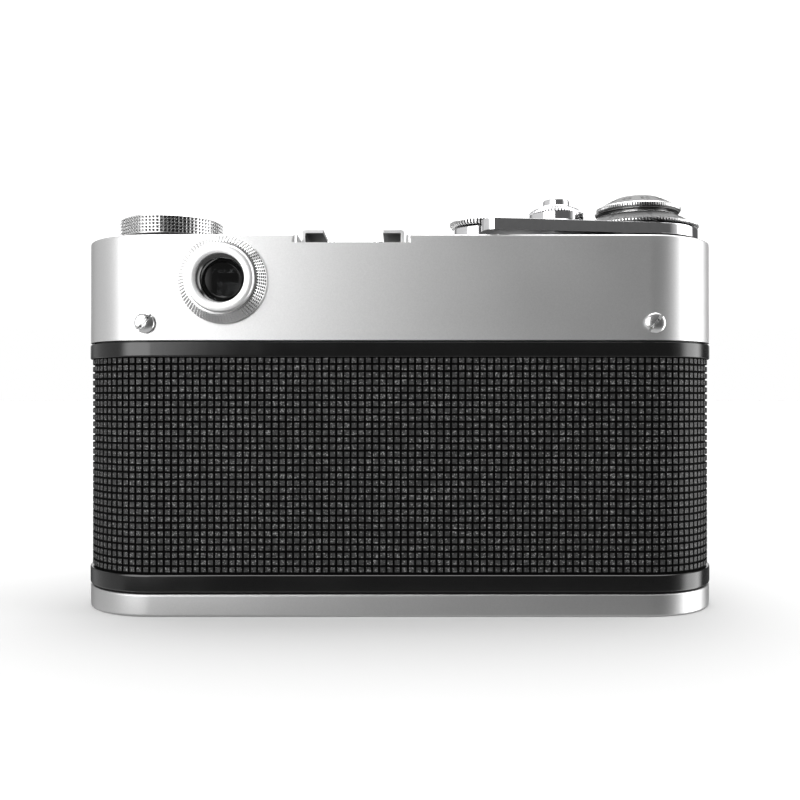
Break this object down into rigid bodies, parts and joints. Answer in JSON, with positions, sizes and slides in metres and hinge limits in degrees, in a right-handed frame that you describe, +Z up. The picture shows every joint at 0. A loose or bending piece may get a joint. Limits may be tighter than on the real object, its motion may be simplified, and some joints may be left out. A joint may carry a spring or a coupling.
{
  "type": "rangefinder camera",
  "caption": "Bottom-loading 35 mm rangefinder camera with lever wind, knurled rewind knob, screw-mount lens and accessory shoe.",
  "frame": {"origin": "on the base plane, under the middle of the body", "axes": "+X to the viewer's right hand, +Y along the lens axis towards the subject, +Z up"},
  "size_m": [0.1382, 0.0622, 0.0906],
  "materials": {
    "satin_chrome": "satin chrome plate",
    "polished_chrome": "polished chrome plate",
    "black_enamel": "black enamel, semi-gloss",
    "leatherette": "embossed square grid, matt",
    "chassis_black": "black anodised",
    "inner_steel": "turned steel",
    "gear_brass": "cut brass",
    "optical_glass": "coated glass",
    "mirror": "front-silvered mirror",
    "shutter_cloth": "rubberised cloth",
    "satin_aluminium": "satin anodised"
  },
  "bodies": {
    "camera": {"body_shell": "black_enamel", "leatherette": "leatherette", "chassis": "chassis_black", "film_gate": "chassis_black", "shutter_curtain": "shutter_cloth", "top_cover": "satin_chrome", "rear_screw_left": "polished_chrome", "rear_screw_right": "polished_chrome", "front_screw_left": "polished_chrome", "front_screw_right": "polished_chrome", "accessory_shoe": "satin_chrome", "shoe_screw_1": "polished_chrome", "shoe_screw_2": "polished_chrome", "shoe_spring": "inner_steel", "wind_hub_base": "polished_chrome", "release_base": "polished_chrome", "speed_dial_base": "polished_chrome", "eyepiece_barrel": "chassis_black", "finder_housing": "chassis_black", "beam_splitter": "optical_glass", "finder_window": "optical_glass", "finder_window_frame": "satin_chrome", "rangefinder_bezel": "satin_chrome", "rangefinder_window": "optical_glass", "sync_socket": "polished_chrome", "lens_mount_ring": "polished_chrome", "lens_barrel": "satin_chrome"},
    "bottom": {"bottom_cover": "satin_chrome", "tripod_socket": "inner_steel"},
    "latch": {"latch_disc": "satin_chrome"},
    "tab": {"latch_tab": "satin_chrome"},
    "rewind_lift": {"rewind_sleeve": "polished_chrome"},
    "rewind_turn": {"rewind_knob": "satin_chrome", "rewind_shaft": "inner_steel"},
    "wind": {"wind_lever": "polished_chrome", "wind_shaft": "inner_steel", "wind_gear": "gear_brass"},
    "counter": {"counter_dial": "satin_chrome"},
    "film_speed": {"film_speed_dial": "satin_chrome"},
    "takeup": {"takeup_spool": "chassis_black"},
    "transport": {"sprocket": "inner_steel", "sprocket_gear": "gear_brass"},
    "drum": {"shutter_drum": "chassis_black"},
    "roller": {"spring_roller": "chassis_black"},
    "release": {"release_button": "polished_chrome"},
    "collar": {"rewind_collar": "satin_chrome"},
    "speed": {"speed_dial": "satin_chrome"},
    "dioptre": {"dioptre_ring": "satin_chrome", "eyepiece_rim": "satin_aluminium"},
    "eye_lens": {"eyepiece_lens": "optical_glass"},
    "range_arm": {"rangefinder_arm": "inner_steel", "rangefinder_mirror": "mirror"},
    "focus": {"focus_ring": "satin_chrome"},
    "helicoid": {"helicoid_tube": "gear_brass", "front_bezel": "satin_chrome", "front_element": "optical_glass", "rear_element": "optical_glass", "iris_diaphragm": "chassis_black"},
    "aperture": {"aperture_ring": "satin_chrome"},
    "pressure": {"pressure_plate": "chassis_black"}
  },
  "joints": [
    {"name": "bottom_cover_off", "type": "slide", "parent": "camera", "child": "bottom", "axis": [0, 0, -1], "range_m": [0, 0.03]},
    {"name": "latch_turn", "type": "hinge", "parent": "bottom", "child": "latch", "pos_m": [-0.0516, 0, 0.001], "axis": [0, 0, 1], "range_deg": [0, 180]},
    {"name": "latch_tab_fold", "type": "hinge", "parent": "latch", "child": "tab", "pos_m": [-0.0516, 0, 0.0007], "axis": [1, 0, 0], "range_deg": [0, 90]},
    {"name": "rewind_pull", "type": "slide", "parent": "camera", "child": "rewind_lift", "axis": [0, 0, 1], "range_m": [0, 0.005]},
    {"name": "rewind_spin", "type": "hinge", "parent": "rewind_lift", "child": "rewind_turn", "pos_m": [-0.0516, 0, 0.08], "axis": [0, 0, 1], "continuous": true},
    {"name": "wind_stroke", "type": "hinge", "parent": "camera", "child": "wind", "pos_m": [0.0537, 0, 0.081], "axis": [0, 0, 1], "range_deg": [0, 150], "stiffness_Nm_per_rad": 0.01},
    {"name": "counter_step", "type": "hinge", "parent": "camera", "child": "counter", "pos_m": [0.0537, 0, 0.084], "axis": [0, 0, 1], "range_deg": [0, 9]},
    {"name": "film_speed_set", "type": "hinge", "parent": "wind", "child": "film_speed", "pos_m": [0.0537, 0, 0.088], "axis": [0, 0, 1], "range_deg": [0, 330]},
    {"name": "takeup_spin", "type": "hinge", "parent": "camera", "child": "takeup", "pos_m": [0.0537, 0, 0.03], "axis": [0, 0, 1], "range_deg": [0, 360]},
    {"name": "sprocket_spin", "type": "hinge", "parent": "camera", "child": "transport", "pos_m": [0.0353, 0, 0.03], "axis": [0, 0, 1], "range_deg": [-360, 0]},
    {"name": "drum_spin", "type": "hinge", "parent": "camera", "child": "drum", "pos_m": [0.0182, 0, 0.03], "axis": [0, 0, 1], "range_deg": [0, 360]},
    {"name": "roller_spin", "type": "hinge", "parent": "camera", "child": "roller", "pos_m": [-0.0325, -0.0039, 0.03], "axis": [0, 0, 1], "range_deg": [0, 787.5]},
    {"name": "release_press", "type": "slide", "parent": "camera", "child": "release", "axis": [0, 0, -1], "range_m": [0, 0.0015], "stiffness_N_per_m": 150, "springref_m": -0.001},
    {"name": "rewind_collar_turn", "type": "hinge", "parent": "camera", "child": "collar", "pos_m": [0.0353, 0, 0.087], "axis": [0, 0, 1], "range_deg": [0, 60]},
    {"name": "shutter_speed_set", "type": "hinge", "parent": "camera", "child": "speed", "pos_m": [0.0182, 0, 0.084], "axis": [0, 0, 1], "range_deg": [0, 300]},
    {"name": "dioptre_set", "type": "hinge", "parent": "camera", "child": "dioptre", "pos_m": [-0.0366, -0.0185, 0.0697], "axis": [0, -1, 0], "range_deg": [-90, 90]},
    {"name": "dioptre_lens_shift", "type": "slide", "parent": "camera", "child": "eye_lens", "axis": [0, -1, 0], "range_m": [-0.001, 0.001]},
    {"name": "range_arm_swing", "type": "hinge", "parent": "camera", "child": "range_arm", "pos_m": [0.022, 0.0125, 0.059], "axis": [0, 0, 1], "range_deg": [-5.04, 0]},
    {"name": "focus_turn", "type": "hinge", "parent": "camera", "child": "focus", "pos_m": [-0.0099, 0.027, 0.03125], "axis": [0, 1, 0], "range_deg": [0, 150]},
    {"name": "helicoid_travel", "type": "slide", "parent": "camera", "child": "helicoid", "axis": [0, 1, 0], "range_m": [0, 0.0028]},
    {"name": "aperture_turn", "type": "hinge", "parent": "helicoid", "child": "aperture", "pos_m": [-0.0099, 0.034, 0.03125], "axis": [0, 1, 0], "range_deg": [0, 80]},
    {"name": "pressure_plate_give", "type": "slide", "parent": "camera", "child": "pressure", "axis": [0, -1, 0], "range_m": [0, 0.0008], "stiffness_N_per_m": 300, "springref_m": -0.0008}
  ],
  "couplings": [
    {"joint": "counter_step", "follows": "wind_stroke", "ratio": 0.06},
    {"joint": "takeup_spin", "follows": "wind_stroke", "ratio": 2.4},
    {"joint": "sprocket_spin", "follows": "wind_stroke", "ratio": -2.4},
    {"joint": "drum_spin", "follows": "wind_stroke", "ratio": 2.4},
    {"joint": "roller_spin", "follows": "wind_stroke", "ratio": 5.25},
    {"joint": "dioptre_lens_shift", "follows": "dioptre_set", "m_per_rad": 0.00063598},
    {"joint": "range_arm_swing", "follows": "focus_turn", "ratio": -0.033454},
    {"joint": "helicoid_travel", "follows": "focus_turn", "m_per_rad": 0.0010694}
  ]
}
